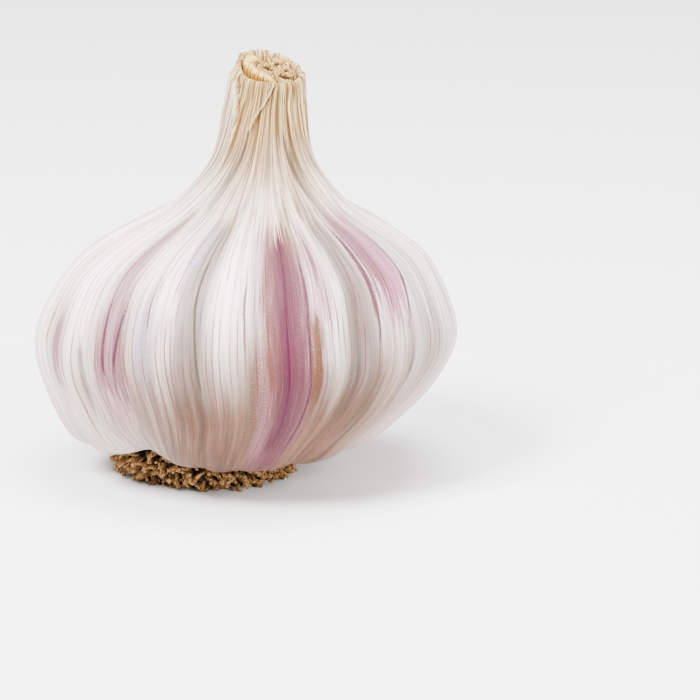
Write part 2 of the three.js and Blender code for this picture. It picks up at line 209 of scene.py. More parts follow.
def gathered(angle, height):
    """Real angle round the bulb, in radians, of a vein that has this angle at mid height."""
    high = GATHER * smooth(*GATHER_HEIGHTS, height)
    low = LOW_GATHER * (1 - smooth(*LOW_GATHER_HEIGHTS, height))
    return (np.radians(angle) + high * np.sin(np.radians(GATHER_ANGLE - angle))
            + low * np.sin(np.radians(LOW_GATHER_ANGLE - angle)))


def cut_height(x, y):
    return CUT_HEIGHT + CUT_SLOPE_X * x + CUT_SLOPE_Y * y


def place(a, radius, height):
    """Point in mm round the bulb's wandering axis; near the top, heights follow the cut."""
    x, y = radius * np.cos(a), DEPTH_RATIO * radius * np.sin(a)
    stretch = (height - CUT_START) / (PROFILE_TOP - CUT_START)
    top = cut_height(x, y) - rim_dip(a)
    z = np.where(stretch > 0, CUT_START + (top - CUT_START) * stretch, height)
    return np.stack([np.interp(height, SPINE[:, 0], SPINE[:, 1]) + x, y, z], -1)


def socket_point(a, radius, height):
    """Point in the cut end, with its height measured down from the slanting cut."""
    x, y = radius * np.cos(a), DEPTH_RATIO * radius * np.sin(a)
    return np.stack([SPINE[-1, 1] + x, y, cut_height(x, y) + height - PROFILE_TOP], -1)


def hollow_depth(angle, radius, height):
    """How deep a place lies under the smooth outline, in mm."""
    pleats = pleat_depth(angle, height, PLEATS) + pleat_depth(angle, height, FINE_PLEATS)
    pleats = pleats * (1 - 0.5 * flap_height(angle, height) / FLAP_THICKNESS)
    fine = rib_depth(angle, radius, height) + groove_depth(angle, height, WRINKLES)
    return valley_depth(angle, radius) + groove_depth(angle, height) + pleats + fine


def skin_point(angle, radius, height):
    valley = valley_depth(angle, radius)
    dents = hollow_depth(angle, radius, height)
    lift = EDGE_LIFT * valley * (1 - smooth(*EDGE_LIFT_END, height))
    laps = flap_height(angle, height) + lap_height(angle, height)
    raised = height + lift + arch_rise(angle, radius, height)
    return place(gathered(angle, height), radius - dents + laps, raised)


# %% [markdown]
# ## A mesh from rings
# Every piece here is a stack of rings, so one helper turns rings of points into a mesh. The skin
# also needs to know where it is on the leaf: angle round the bulb, distance along a vein and
# height are stored at each face corner, so that the veins of the finish follow the form.

# %% Mesh helper
def grid_faces(rows, columns):
    r, c = np.meshgrid(np.arange(rows - 1), np.arange(columns), indexing="ij")
    n = (c + 1) % columns
    below, above = r * columns, (r + 1) * columns
    return np.stack([below + c, below + n, above + n, above + c], -1).reshape(-1, 4)


def mesh_object(name, points, faces):
    """An object from points in millimetres, with a smooth surface."""
    mesh = bpy.data.meshes.new(name)
    mesh.from_pydata((np.asarray(points) * MM).tolist(), [], [list(map(int, f)) for f in faces])
    mesh.validate()
    mesh.shade_smooth()
    obj = bpy.data.objects.new(name, mesh)
    bpy.context.scene.collection.objects.link(obj)
    return obj


def ring_object(name, rings, cap_start=True, cap_end=True):
    """rings: array of (row, column, xyz). The ends close with a fan."""
    rows, columns = rings.shape[:2]
    points = list(rings.reshape(-1, 3))
    faces = list(grid_faces(rows, columns))
    if cap_start:
        points.append(rings[0].mean(0))
        faces += [(len(points) - 1, (c + 1) % columns, c) for c in range(columns)]
    if cap_end:
        points.append(rings[-1].mean(0))
        base = (rows - 1) * columns
        faces += [(len(points) - 1, base + c, base + (c + 1) % columns) for c in range(columns)]
    return mesh_object(name, points, faces)


# %% Fine skin
COLUMNS, ROWS = 460, 200
steps = np.linspace(1.0, len(PROFILE) - 1.0, ROWS)
outline = spline(PROFILE, steps)
angles = SEAM - 360 + 360 * np.arange(COLUMNS) / COLUMNS
A, R = np.meshgrid(angles, outline[:, 0])
H = np.meshgrid(angles, outline[:, 1])[1]
outer = skin_point(A, R, H)
# rows over the rim and down into the socket: radius, height
inner_rows = [(SOCKET_RADIUS + 0.2, PROFILE_TOP), (SOCKET_RADIUS, 60.8), (SOCKET_RADIUS, 59.0),
              (SOCKET_RADIUS, 57.0), (SOCKET_RADIUS, 55.9)]
rim_turn = gathered(angles, PROFILE_TOP)
inner = np.stack([
    socket_point(rim_turn, r, h - rim_dip(rim_turn) * smooth(57, 60, h)) for r, h in inner_rows])
skin_rings = np.concatenate([outer, inner])
skin = ring_object("bulb_skin", skin_rings)
along = np.concatenate([[0], np.cumsum(np.hypot(*np.diff(outline, axis=0).T))])
along = np.concatenate([along, along[-1] + np.arange(1, len(inner) + 1)])
heights = np.concatenate([outline[:, 1], [h for _, h in inner_rows]])


def store_skin_map(mesh, angles, along, heights):
    """Angle in degrees, distance along a vein and height in mm, at each face corner."""
    loops = np.zeros(len(mesh.loops), int)
    mesh.loops.foreach_get("vertex_index", loops)
    columns = len(angles)
    row, column = np.minimum(loops // columns, len(heights) - 1), loops % columns
    angle = angles[column]
    starts = np.zeros(len(mesh.polygons), int)
    totals = np.zeros(len(mesh.polygons), int)
    mesh.polygons.foreach_get("loop_start", starts)
    mesh.polygons.foreach_get("loop_total", totals)
    face = np.repeat(np.arange(len(starts)), totals)
    wraps = np.zeros(len(starts), bool)
    np.logical_or.at(wraps, face, column == columns - 1)
    angle = np.where(wraps[face] & (column == 0), angle + 360, angle)
    data = np.stack([angle, along[row], heights[row]], -1).astype(np.float32)
    corners = mesh.attributes.new("skin_map", "FLOAT_VECTOR", "CORNER")
    corners.data.foreach_set("vector", data.ravel())


def store_value(mesh, name, values):
    """One number per vertex, for the finish to read."""
    values = np.asarray(values, np.float32)
    values = np.concatenate([values, np.zeros(len(mesh.vertices) - len(values), np.float32)])
    mesh.attributes.new(name, "FLOAT", "POINT").data.foreach_set("value", values)


store_skin_map(skin.data, angles, along, heights)
store_value(skin.data, "valley", valley_depth(A, R).ravel())
creases = pleat_depth(A, H, PLEATS) + pleat_depth(A, H, FINE_PLEATS) + 0.75 * groove_depth(A, H)
creases = creases + 1.5 * groove_depth(A, H, WRINKLES)
store_value(skin.data, "torn_edge", edge_mark(A, H).ravel())
store_value(skin.data, "torn_leaf", (flap_height(A, H) / FLAP_THICKNESS).ravel())
store_value(skin.data, "crease", creases.ravel())
print("skin", len(skin.data.polygons), "faces, vein length", round(float(along[-1]), 1), "mm")

# %% [markdown]
# ## The cut end
# Inside the neck a rolled leaf shows as a thick crescent with a rounded, finely ribbed lip, and
# the rest is a grainy plug of cut leaf bases with small dark holes. Both are shaped as rings too,
# with seeded noise for the grain.

# %% Inner sheath and stem core
rng = np.random.default_rng(5)
SHEATH_ANGLES, SHEATH_OUTER, SHEATH_THICKNESS = (118, 292), SOCKET_RADIUS - GAP, 1.3
SHEATH_TOP, SHEATH_ROUND, SHEATH_DROOP = PROFILE_TOP + 0.25, 0.6, 1.4
stations = np.linspace(SHEATH_ANGLES[1], SHEATH_ANGLES[0], 220)
lip = np.linspace(0, np.pi, 9)
half = SHEATH_THICKNESS / 2
section_r = np.concatenate([[-half, half], half * np.cos(lip)])
round_top = SHEATH_TOP - SHEATH_ROUND + SHEATH_ROUND * np.sin(lip)
section_h = np.concatenate([[PIECE_FLOOR, PIECE_FLOOR], round_top])
from_middle = (stations - stations.mean()) / (stations[0] - stations.mean())
ends = from_middle ** 6 * SHEATH_DROOP
ribs = 0.11 * np.sin(stations * 0.95) + 0.07 * np.sin(stations * 0.58 + 1)
sheath_rings = []
for angle, droop, rib in zip(stations, ends, ribs):
    grow = 1 + rib / half
    radius = SHEATH_OUTER - half + section_r * grow - 0.06
    raised = section_h - droop + rib * 0.6
    height = np.where(section_h > PIECE_FLOOR, raised, section_h)
    sheath_rings.append(socket_point(np.radians(angle), radius, height))
sheath = ring_object("inner_sheath_fine", np.array(sheath_rings))
# The stored tip value is low on the sides of the roll and between its ribs: there the finish paints
# shade.
lip_share = np.concatenate([[0, 0], 0.15 + 0.85 * np.sin(lip)])
store_value(sheath.data, "tip", (lip_share[None, :] + 2.2 * (ribs[:, None] - 0.04)).ravel())

CORE_MARGIN = 9  # degrees over which the stem narrows at the ends of the sheath


def core_radius(angle):
    """The stem narrows beside the sheath."""
    start, end = SHEATH_ANGLES
    inside = (end - start) / 2 + CORE_MARGIN - np.abs(turn(angle, (start + end) / 2))
    narrow = SHEATH_OUTER - SHEATH_THICKNESS - GAP
    return SHEATH_OUTER + (narrow - SHEATH_OUTER) * smooth(-CORE_MARGIN, 0, inside)


# Holes in the cut: x and y from the middle of the stem and radius, in mm
HOLES = [(-0.6, 0.1, 0.40), (1.9, -1.4, 0.45), (2.6, -1.2, 0.30), (3.3, -1.5, 0.32),
         (-1.7, 1.2, 0.30), (0.9, 1.9, 0.30), (0.0, -0.4, 0.25), (2.3, 0.6, 0.25)]
HOLE_DEPTH, GRAIN_DEPTH = 2.2, 0.7
core_angles = np.arange(0, 360, 3.0)
shares = np.concatenate([[1, 1], np.linspace(1, 0.03, 34)])
core_rings, grain_depths = [], []
for k, share in enumerate(shares):
    radius = core_radius(core_angles) * share
    grains = rng.random(len(core_angles))
    clumps = np.repeat(rng.random(len(core_angles) // 4), 4)
    depth = 0.5 * (grains + clumps) ** 2
    turns = np.radians(core_angles)
    x, y = radius * np.cos(turns), radius * np.sin(turns)
    for hole_x, hole_y, hole_radius in HOLES:
        away = ((x - hole_x) ** 2 + (y - hole_y) ** 2) / hole_radius ** 2
        depth = depth + HOLE_DEPTH * np.exp(-away)
    grain_depths.append(1 - depth)
    height = PROFILE_TOP - 0.12 * share - GRAIN_DEPTH * depth
    if k == 0:
        height = np.full(len(core_angles), PIECE_FLOOR)
    elif k == 1:
        height = height - 0.5
    core_rings.append(socket_point(turns, radius, height))
core = ring_object("stem_core_fine", np.array(core_rings))
# The stored tip value is low in the pits and holes: there the finish paints shade.
store_value(core.data, "tip", np.concatenate(grain_depths))
print("sheath", len(sheath.data.polygons), "core", len(core.data.polygons))

# %% [markdown]
# ## Root tuft
# The dried roots are cut to short stubs: woody, crooked, pointing out and down from the base plate
# and pressed flat by the surface. Each stub is a short crooked tube; hundreds of them over a rough
# plate give the tangle. Their directions are drawn at random with a seed.

# %% Root stubs
ROOTS, SIDES, JOINTS = 520, 6, 6
STUB_SUNK, STUB_CURL = 0.8, 0.9
PLATE = np.array([[0, 0.0], [9.6, 0.0], [10.6, 0.5], [11.4, 1.5], [12.0, 2.5], [12.0, 3.3],
                  [11.0, 3.9]])


def tuft_rise(spin):
    """The tuft rises into the arch of the skin."""
    return ARCH_RISE * bell(np.degrees(spin), PLATE_ARCH_ANGLE, ARCH_WIDTH)


def stub(rng, share, spin):
    """Rings of one crooked stub, share 0 beneath to 1 at the rim, spin in radians."""
    out = np.array([math.cos(spin), math.sin(spin), 0])
    start = out * (8.8 + 4.2 * math.sqrt(share))
    start[2] = 0.6 + 3.0 * share + tuft_rise(spin) * share
    heading = out * (0.5 + 0.6 * share) + np.array([0, 0, -1.0 + 0.8 * share])
    heading += STUB_CURL * (rng.random(3) - 0.5)
    width = 0.30 + 0.32 * rng.random()
    length = 1.4 + 1.5 * rng.random()
    point, rows = start - STUB_SUNK * heading / np.linalg.norm(heading), []
    for j in range(JOINTS + 1):
        heading /= np.linalg.norm(heading)
        side = np.cross([0, 0, 1.0], heading)
        side /= max(np.linalg.norm(side), 1e-6)
        up = np.cross(heading, side)
        turns = np.arange(SIDES) * 2 * np.pi / SIDES + rng.random()
        girth = width * (1 - 0.4 * j / JOINTS) * (0.75 + 0.5 * rng.random(SIDES))
        circle = np.outer(np.cos(turns), side) + np.outer(np.sin(turns), up)
        rows.append(point + girth[:, None] * circle)
        heading = heading + STUB_CURL * (rng.random(3) - 0.5)
        point = point + heading / np.linalg.norm(heading) * (length + STUB_SUNK) / JOINTS
    return np.array(rows)


golden_angle = math.pi * (3 - math.sqrt(5))
points, faces = [], []
for i in range(ROOTS):
    rings = stub(rng, (i + 0.5) / ROOTS, i * golden_angle)
    rings[..., 2] = np.maximum(rings[..., 2], 0.0)
    base = len(points)
    points += list(rings.reshape(-1, 3))
    faces += list(grid_faces(JOINTS + 1, SIDES) + base)
    faces.append(base + JOINTS * SIDES + np.arange(SIDES))
plate_outline = spline(PLATE, np.linspace(0.05, len(PLATE) - 1, 40))
plate_angles = np.radians(np.arange(0, 360, 3.0))
plate = []
for r, z in plate_outline:
    rough = 0.5 * (rng.random((2, len(plate_angles))) - 0.5) * (r > 9)
    x, y = (r + rough[0]) * np.cos(plate_angles), (r + rough[1]) * np.sin(plate_angles)
    height = max(z, 0.0) + tuft_rise(plate_angles) * smooth(*PLATE_ARCH_HEIGHTS, z)
    plate.append(np.stack([x, y, height], -1))
base = len(points)
points += list(np.concatenate(plate))
faces += list(grid_faces(len(plate), len(plate_angles)) + base)
roots = mesh_object("root_tuft_fine", points, faces)
# The stored tip value is low where a stub leaves the plate: there the finish paints shade.
tips = np.tile(np.repeat(np.linspace(0, 1, JOINTS + 1), SIDES), ROOTS)
store_value(roots.data, "tip", tips)
print("roots", len(roots.data.polygons), "faces")

# %% [markdown]
# ## Node helpers
# Materials are built from a few small steps: noise, a smooth threshold, a mix. Short helper
# functions keep each material readable.

# %% Node helpers
class Tree:
    """Adds nodes to a node tree and links plain numbers, colours or sockets to their inputs."""

    def __init__(self, tree):
        self.tree = tree

    def node(self, kind, inputs=(), **settings):
        node = self.tree.nodes.new("ShaderNode" + kind)
        for key, value in settings.items():
            setattr(node, key, value)
        for key, value in dict(inputs).items():
            self.put(node.inputs[key], value)
        return node

    def put(self, socket, value):
        if isinstance(value, bpy.types.NodeSocket):
            self.tree.links.new(value, socket)
        elif isinstance(value, tuple) and len(value) == 3 and socket.type == "RGBA":
            socket.default_value = (*value, 1)
        else:
            socket.default_value = value

    def math(self, operation, a, b=0.0, clamp=False):
        node = self.node("Math", {0: a, 1: b}, operation=operation, use_clamp=clamp)
        return node.outputs[0]

    def step(self, value, low, high):
        """0 below low, 1 above high, smooth between; low may be above high."""
        node = self.node("MapRange", {"Value": value, "From Min": low, "From Max": high},
                         interpolation_type="SMOOTHSTEP")
        return node.outputs[0]

    def mix(self, factor, a, b, blend="MIX"):
        node = self.node("Mix", {0: factor, 6: a, 7: b}, data_type="RGBA", blend_type=blend)
        return node.outputs[2]

    def vector(self, x, y, z=0.0):
        return self.node("CombineXYZ", {0: x, 1: y, 2: z}).outputs[0]

    def noise(self, vector, scale=1.0, detail=2.0, roughness=0.5):
        node = self.node("TexNoise", {"Vector": vector, "Scale": scale, "Detail": detail,
                                      "Roughness": roughness})
        return node.outputs["Fac"]


def new_group(name, inputs, outputs):
    group = bpy.data.node_groups.new(name, "ShaderNodeTree")
    for label, kind in inputs:
        group.interface.new_socket(label, in_out="INPUT", socket_type=kind)
    for label, kind in outputs:
        group.interface.new_socket(label, in_out="OUTPUT", socket_type=kind)
    t = Tree(group)
    start = group.nodes.new("NodeGroupInput")
    end = group.nodes.new("NodeGroupOutput")
    return group, t, start.outputs, end.inputs


def use_group(t, group, inputs):
    node = t.tree.nodes.new("ShaderNodeGroup")
    node.node_tree = group
    for key, value in inputs.items():
        t.put(node.inputs[key], value)
    return node.outputs


def new_material(name):
    material = bpy.data.materials.new(name)
    material.use_nodes = True
    tree = material.node_tree
    tree.nodes.clear()
    t = Tree(tree)
    shader = t.node("BsdfPrincipled")
    output = t.node("OutputMaterial")
    tree.links.new(shader.outputs[0], output.inputs[0])
    return material, t, shader


# %% [markdown]
# ## Shared effects
# A streak is a band of colour that follows a vein: it has an angle, a width and a start and end
# height, and its edges are ragged and speckled where the colour bleeds along fibres. Fibres are
# the fine lengthwise grain of a dry leaf: mottling, veins, pleat lines and a small-scale grain.

# %% Streak and fibre groups
FLOAT = "NodeSocketFloat"
fibre_group, t, i, o = new_group(
    "leaf_fibres", [("Angle", FLOAT), ("Along", FLOAT)],
    [(n, FLOAT) for n in ("Fine", "Broad", "Pleats", "Veins", "Vein Shade", "Grain")])


def stretched(t, x, x_scale, y, y_scale, z=0.0, detail=2.0, roughness=0.5):
    """Noise drawn out along the leaf."""
    vector = t.vector(t.math("MULTIPLY", x, x_scale), t.math("MULTIPLY", y, y_scale), z)
    return t.noise(vector, detail=detail, roughness=roughness)


fine = stretched(t, i["Angle"], 1.7, i["Along"], 0.13, detail=4, roughness=0.6)
broad = stretched(t, i["Angle"], 0.30, i["Along"], 0.04, 7.0, detail=3)
wander = stretched(t, i["Angle"], 0.05, i["Along"], 0.07, 3.0, detail=1)
line_at = t.math("MULTIPLY", t.math("ADD", i["Angle"], t.math("MULTIPLY", wander, 3.0)), 0.40)
places = {"W": line_at, "Scale": 1.0, "Randomness": 0.85}
edges = t.node("TexVoronoi", places, voronoi_dimensions="1D", feature="DISTANCE_TO_EDGE")
cells = t.node("TexVoronoi", places, voronoi_dimensions="1D", feature="F1")
broken = stretched(t, i["Angle"], 0.8, i["Along"], 0.10, 11.0)
lines = t.step(edges.outputs["Distance"], 0.11, 0.03)
t.put(o["Fine"], fine)
t.put(o["Broad"], broad)
pleats = stretched(t, i["Angle"], 0.34, i["Along"], 0.06, 17.0, detail=4, roughness=0.65)
t.put(o["Pleats"], pleats)
t.put(o["Veins"], t.math("MULTIPLY", lines, t.step(broken, 0.34, 0.6)))
t.put(o["Vein Shade"], cells.outputs["Color"])
t.put(o["Grain"], stretched(t, i["Angle"], 3.6, i["Along"], 3.0, 5.0, roughness=0.7))

DRIFT_HEIGHT = 25.0  # height in mm at which a drifting streak has its listed angle
streak_group, t, i, o = new_group(
    "vein_streak",
    [(n, FLOAT) for n in ("Angle", "Height", "Grain", "Centre", "Drift", "Width", "Low", "High",
                          "Soft", "Ragged")], [("Mask", FLOAT)])
rise = t.math("SUBTRACT", i["Height"], DRIFT_HEIGHT)
middle = t.math("ADD", i["Centre"], t.math("MULTIPLY", i["Drift"], rise))
ragged = t.math("SUBTRACT", stretched(t, i["Angle"], 1.6, i["Height"], 0.20, 5.0, detail=3), 0.5)
distance = t.math("ABSOLUTE", t.math("SUBTRACT", i["Angle"], middle))
across = t.math("SUBTRACT", 1.0, t.math("DIVIDE", distance, i["Width"]), clamp=True)
ends = t.math("ADD", i["Height"], t.math("MULTIPLY", ragged, 12.0))
lower = t.step(ends, i["Low"], t.math("ADD", i["Low"], i["Soft"]))
upper = t.step(ends, i["High"], t.math("SUBTRACT", i["High"], i["Soft"]))
solid = t.math("MULTIPLY", across, t.math("MULTIPLY", lower, upper))
speckle = t.math("MULTIPLY", t.math("SUBTRACT", i["Grain"], 0.5), 1.5)
broken = t.math("MULTIPLY", t.math("ADD", t.math("MULTIPLY", ragged, 1.2), speckle), i["Ragged"])
broken = t.math("ADD", solid, t.math("MULTIPLY", broken, t.step(solid, 0.0, 0.3)))
t.put(o["Mask"], t.step(broken, 0.06, 0.8))
print("groups", [g.name for g in (fibre_group, streak_group)])

# %% [markdown]
# ## Papery skin
# The skin is silky white with painted grey shade in the valleys and painted highlights on the
# flanks and clove rounds, thin tan and pink veins every one or two millimetres, speckled purple
# bands where the pigment shows, low down a brown tint that is partly painted shade, and straw
# yellow towards the cut. Bands and veins are listed by where they lie on the bulb. Height and
# angle drive everything, so the pattern runs along the veins up into the pleats.

# %% Skin material
PURPLE, MAGENTA, PINK = (0.065, 0.010, 0.028), (0.045, 0.002, 0.018), (0.44, 0.20, 0.26)
MAUVE, OCHRE, ROSE = (0.105, 0.028, 0.048), (0.10, 0.038, 0.009), (0.125, 0.042, 0.045)
LILAC = (0.40, 0.14, 0.25)
LAVENDER_SHADE, WARM_SHADE = (0.34, 0.28, 0.42), (0.13, 0.078, 0.042)
ORANGE, TAN, PAINTED_HIGHLIGHT = (0.30, 0.12, 0.035), (0.055, 0.038, 0.022), (0.97, 0.885, 0.865)
# In each list: centre angle, drift per mm, half width, low, high, softness, raggedness, colour,
# strength. First the painted highlights on the rounds of the cloves and on the left flank.
CLOVE_HIGHLIGHTS = [
    (-154.0, 0.0, 11.0, 14, 46, 14, 0.3, PAINTED_HIGHLIGHT, 0.7), (-98.5, 0.0, 9.0, 8, 46, 14, 0.3, PAINTED_HIGHLIGHT, 0.6),
    (-63.0, 0.0, 8.0, 12, 46, 14, 0.3, PAINTED_HIGHLIGHT, 0.6), (-22.0, 0.0, 8.0, 18, 46, 12, 0.3, PAINTED_HIGHLIGHT, 0.6),
    (-176.0, 0.0, 8.0, 8, 44, 14, 0.3, PAINTED_HIGHLIGHT, 0.8),
]
# Wide bands of pigment and painted shade, the later ones over the earlier ones. The warm and
# lavender bands are painted shade.
BANDS = [
    (-88.0, 0.0, 9.0, 0, 32, 12, 0.4, WARM_SHADE, 0.75),
    (-124.0, 0.0, 5.0, 16, 36, 10, 0.3, LAVENDER_SHADE, 0.5),
    (-115.0, 0.0, 4.0, 31, 42, 5, 0.8, LAVENDER_SHADE, 0.7),
    (-79.0, 0.0, 12.0, 3, 42, 6, 0.4, PINK, 0.8),
    (-77.0, 0.0, 10.5, 3, 40.5, 3, 0.5, MAUVE, 0.95),
    (-82.5, -0.1, 5.0, 12, 41, 5, 0.9, ROSE, 0.9),
    (-85.0, -0.1, 1.6, 16, 38, 6, 2.0, OCHRE, 0.5),
    (-79.2, 0.0, 4.6, 8, 40, 3, 0.8, PURPLE, 0.92),
    (-74.6, 0.0, 1.5, 6, 30, 8, 1.2, PURPLE, 0.5),
    (-66.0, 0.0, 7.0, 24, 42, 6, 1.2, PINK, 0.8),
    (-69.6, 0.0, 3.1, 14, 32, 5, 0.8, OCHRE, 0.97),
    (-66.5, 0.0, 1.6, 31, 40, 4, 1.2, MAUVE, 0.8),
    (-136.5, 0.0, 10.0, 8, 42, 12, 0.8, PINK, 0.55),
    (-139.5, 0.0, 4.5, 12, 34, 9, 1.0, MAUVE, 0.65),
    (-133.0, 0.0, 5.5, 12, 35, 9, 1.0, MAUVE, 0.75),
    (-134.0, -0.4, 6.5, 27, 43, 5, 1.4, ROSE, 0.6),
    (-160.0, 0.0, 7.0, 12, 32, 8, 0.8, PINK, 0.6),
    (-160.5, 0.0, 5.0, 15, 30, 7, 1.4, ROSE, 0.7),
    (-101.0, 0.0, 3.0, 39, 45, 3, 1.6, MAUVE, 0.6),
    (-53.0, 0.0, 6.0, 22, 38, 7, 0.5, WARM_SHADE, 0.4),
    (-57.0, 0.0, 7.0, 37, 49, 5, 0.6, WARM_SHADE, 0.45),
    (-41.0, 0.2, 12.0, 24, 44, 9, 0.8, PINK, 0.85),
    (-43.0, 0.1, 7.0, 29, 43, 5, 0.9, MAUVE, 0.75),
    (-45.8, 0.0, 2.4, 33, 41, 4, 1.4, PURPLE, 0.6),
    (-40.0, 0.7, 9.0, 25, 43, 6, 0.8, LILAC, 0.8),
    (10.0, 0.0, 8.0, 8, 38, 8, 1.0, PINK, 0.7),
    (38.0, 0.0, 8.0, 6, 38, 8, 1.0, MAUVE, 0.8),
    (75.0, 0.0, 8.0, 6, 38, 8, 1.0, PINK, 0.7),
    (-240.0, 0.0, 8.0, 8, 38, 8, 1.0, MAUVE, 0.7),
    (-205.0, 0.0, 7.0, 10, 36, 8, 1.0, PINK, 0.7),
]
# Thin dark veins.
LINES = [
    (-78.8, 0.0, 0.8, 9, 39, 4, 0.8, MAGENTA, 0.95),
    (-72.0, 0.0, 0.8, 5, 39, 5, 1.0, MAGENTA, 0.85),
    (-138.8, 0.0, 0.7, 18, 33, 5, 1.0, MAGENTA, 0.9),
    (-133.4, 0.35, 1.2, 17, 32, 6, 1.2, MAGENTA, 0.7),
    (-133.2, 0.35, 0.5, 19, 30, 4, 0.8, MAGENTA, 0.8),
    (-160.5, 0.15, 0.7, 27, 40, 5, 0.8, ROSE, 0.8),
    (-173.5, 0.0, 1.3, 18, 29, 5, 1.0, ORANGE, 0.8),
    (-122.5, 0.0, 0.6, 24, 36, 5, 0.8, MAUVE, 0.9),
    (-115.0, 0.0, 0.6, 16, 31, 6, 0.8, ROSE, 0.6),
    (-92.0, 0.0, 0.8, 23, 36, 5, 0.8, MAUVE, 0.95),
    (-107.6, -0.1, 0.8, 17, 39, 4, 0.6, TAN, 0.95),
    (-46.5, 0.0, 1.3, 23, 41, 5, 0.9, MAGENTA, 0.9),
    (-40.5, 0.0, 0.8, 25, 38, 5, 1.0, ROSE, 0.9),
    (-35.3, 0.74, 1.4, 25, 40, 4, 0.6, MAGENTA, 0.95),
    (-53.0, 0.0, 0.8, 24, 38, 5, 1.0, MAUVE, 0.7),
    (10.0, 0.0, 1.2, 8, 36, 8, 1.0, MAGENTA, 0.7),
    (44.0, 0.0, 1.2, 8, 36, 6, 1.0, MAGENTA, 0.8),
    (-236.0, 0.0, 1.2, 8, 36, 6, 1.0, MAGENTA, 0.8),
]
skin_material, t, shader = new_material("papery_skin")
skin_map = t.node("Attribute", attribute_name="skin_map").outputs["Vector"]
where = t.node("SeparateXYZ", {0: skin_map}).outputs
angle, distance_along, height = where[0], where[1], where[2]
fibres = use_group(t, fibre_group, {"Angle": angle, "Along": distance_along})
fine, grain = fibres["Fine"], fibres["Grain"]
valley = t.node("Attribute", attribute_name="valley").outputs["Fac"]
crease = t.node("Attribute", attribute_name="crease").outputs["Fac"]
large = stretched(t, angle, 0.085, distance_along, 0.03, 1.0)
front = t.step(t.math("ABSOLUTE", t.math("ADD", angle, 80.0)), 85.0, 25.0)


def product(*values):
    """Values multiplied together."""
    total = values[0]
    for value in values[1:]:
        total = t.math("MULTIPLY", total, value)
    return total


def paint(colour, streaks):
    """The colour with streaks laid over it, and how strongly it is painted."""
    painted = 0.0
    for centre, drift, width, low, high, soft, ragged, tint, strength in streaks:
        mask = use_group(t, streak_group, {
            "Angle": angle, "Height": height, "Grain": grain, "Centre": centre, "Drift": drift,
            "Width": width, "Low": low, "High": high, "Soft": soft, "Ragged": ragged})["Mask"]
        mask = product(mask, strength)
        colour = t.mix(mask, colour, tint)
        painted = t.math("MAXIMUM", painted, mask)
    return colour, painted


# Pale leaf with broad and fine lengthwise mottling
colour = t.mix(t.step(large, 0.40, 0.60), (0.72, 0.57, 0.54), (0.36, 0.275, 0.27))
colour = t.mix(t.step(fibres["Broad"], 0.38, 0.66), colour, (0.97, 0.84, 0.81))
colour = t.mix(product(t.step(fine, 0.42, 0.68), 0.5), colour, (0.24, 0.16, 0.14))
colour = t.mix(product(t.step(grain, 0.52, 0.62), 0.35), colour, (0.97, 0.90, 0.88))

# Painted highlight on the flanks and clove rounds, then painted shade on the shoulder, in the
# valleys and low down, where the darkening is also the brown tint of the base
flank_highlight = product(t.math("SUBTRACT", 1.0, front), 0.4)
colour = t.mix(flank_highlight, colour, PAINTED_HIGHLIGHT)
colour, _ = paint(colour, CLOVE_HIGHLIGHTS)
shoulder = product(t.step(height, 34.0, 40.0), t.step(height, 54.0, 46.0), front, 0.55)
colour = t.mix(shoulder, colour, (0.66, 0.53, 0.48), "MULTIPLY")
shade = t.math("ADD", 0.3, product(front, 0.6))
shade = product(t.step(valley, 0.15, 1.1), shade, t.step(height, 10.0, 27.0))
colour = t.mix(shade, colour, (0.15, 0.12, 0.11))
# Darker low down and most at the front: partly the brown tint of the base, partly painted shade
base = t.step(t.math("ADD", height, product(fibres["Broad"], 8.0)), 37.0, 18.0)
base = product(base, t.math("ADD", 0.38, product(front, 0.6)))
colour = t.mix(base, colour, (0.18, 0.108, 0.062), "MULTIPLY")

# Bands of pigment, broken up by dark and light speckles, then the thin veins
colour, painted = paint(colour, BANDS)
dark_speckle = product(t.step(grain, 0.54, 0.43), painted, 0.7)
colour = t.mix(dark_speckle, colour, (0.060, 0.020, 0.022))
light_speckle = product(t.step(grain, 0.56, 0.66), painted, 0.08)
colour = t.mix(light_speckle, colour, (0.60, 0.36, 0.38))
# Low down the bands darken again: partly brown tint, partly painted shade
colour = t.mix(product(base, 0.4), colour, (0.42, 0.28, 0.20), "MULTIPLY")
colour, _ = paint(colour, LINES)
tan_vein, pink_vein = (0.12, 0.050, 0.016), (0.12, 0.024, 0.032)
vein_colour = t.mix(t.step(fibres["Vein Shade"], 0.35, 0.65), tan_vein, pink_vein)
colour = t.mix(product(fibres["Veins"], 0.85), colour, vein_colour)

# The neck turns straw coloured towards the cut, less so on the torn leaf
straw, dark_straw, fibre_brown = (0.76, 0.53, 0.225), (0.23, 0.118, 0.022), (0.085, 0.032, 0.004)
tan = t.mix(t.step(fibres["Pleats"], 0.42, 0.56), straw, dark_straw)
tan = t.mix(product(t.step(fine, 0.50, 0.62), 0.75), tan, fibre_brown)
torn = t.node("Attribute", attribute_name="torn_leaf").outputs["Fac"]
neck = t.step(t.math("ADD", height, product(fibres["Pleats"], 12.0)), 43.0, 59.5)
neck = product(neck, t.math("SUBTRACT", 0.95, product(torn, 0.35)))
neck_lines = product(t.step(fibres["Pleats"], 0.51, 0.62), t.step(height, 34.0, 42.0), 0.85)
colour = t.mix(neck_lines, colour, (0.16, 0.09, 0.042))
colour = t.mix(neck, colour, tan)

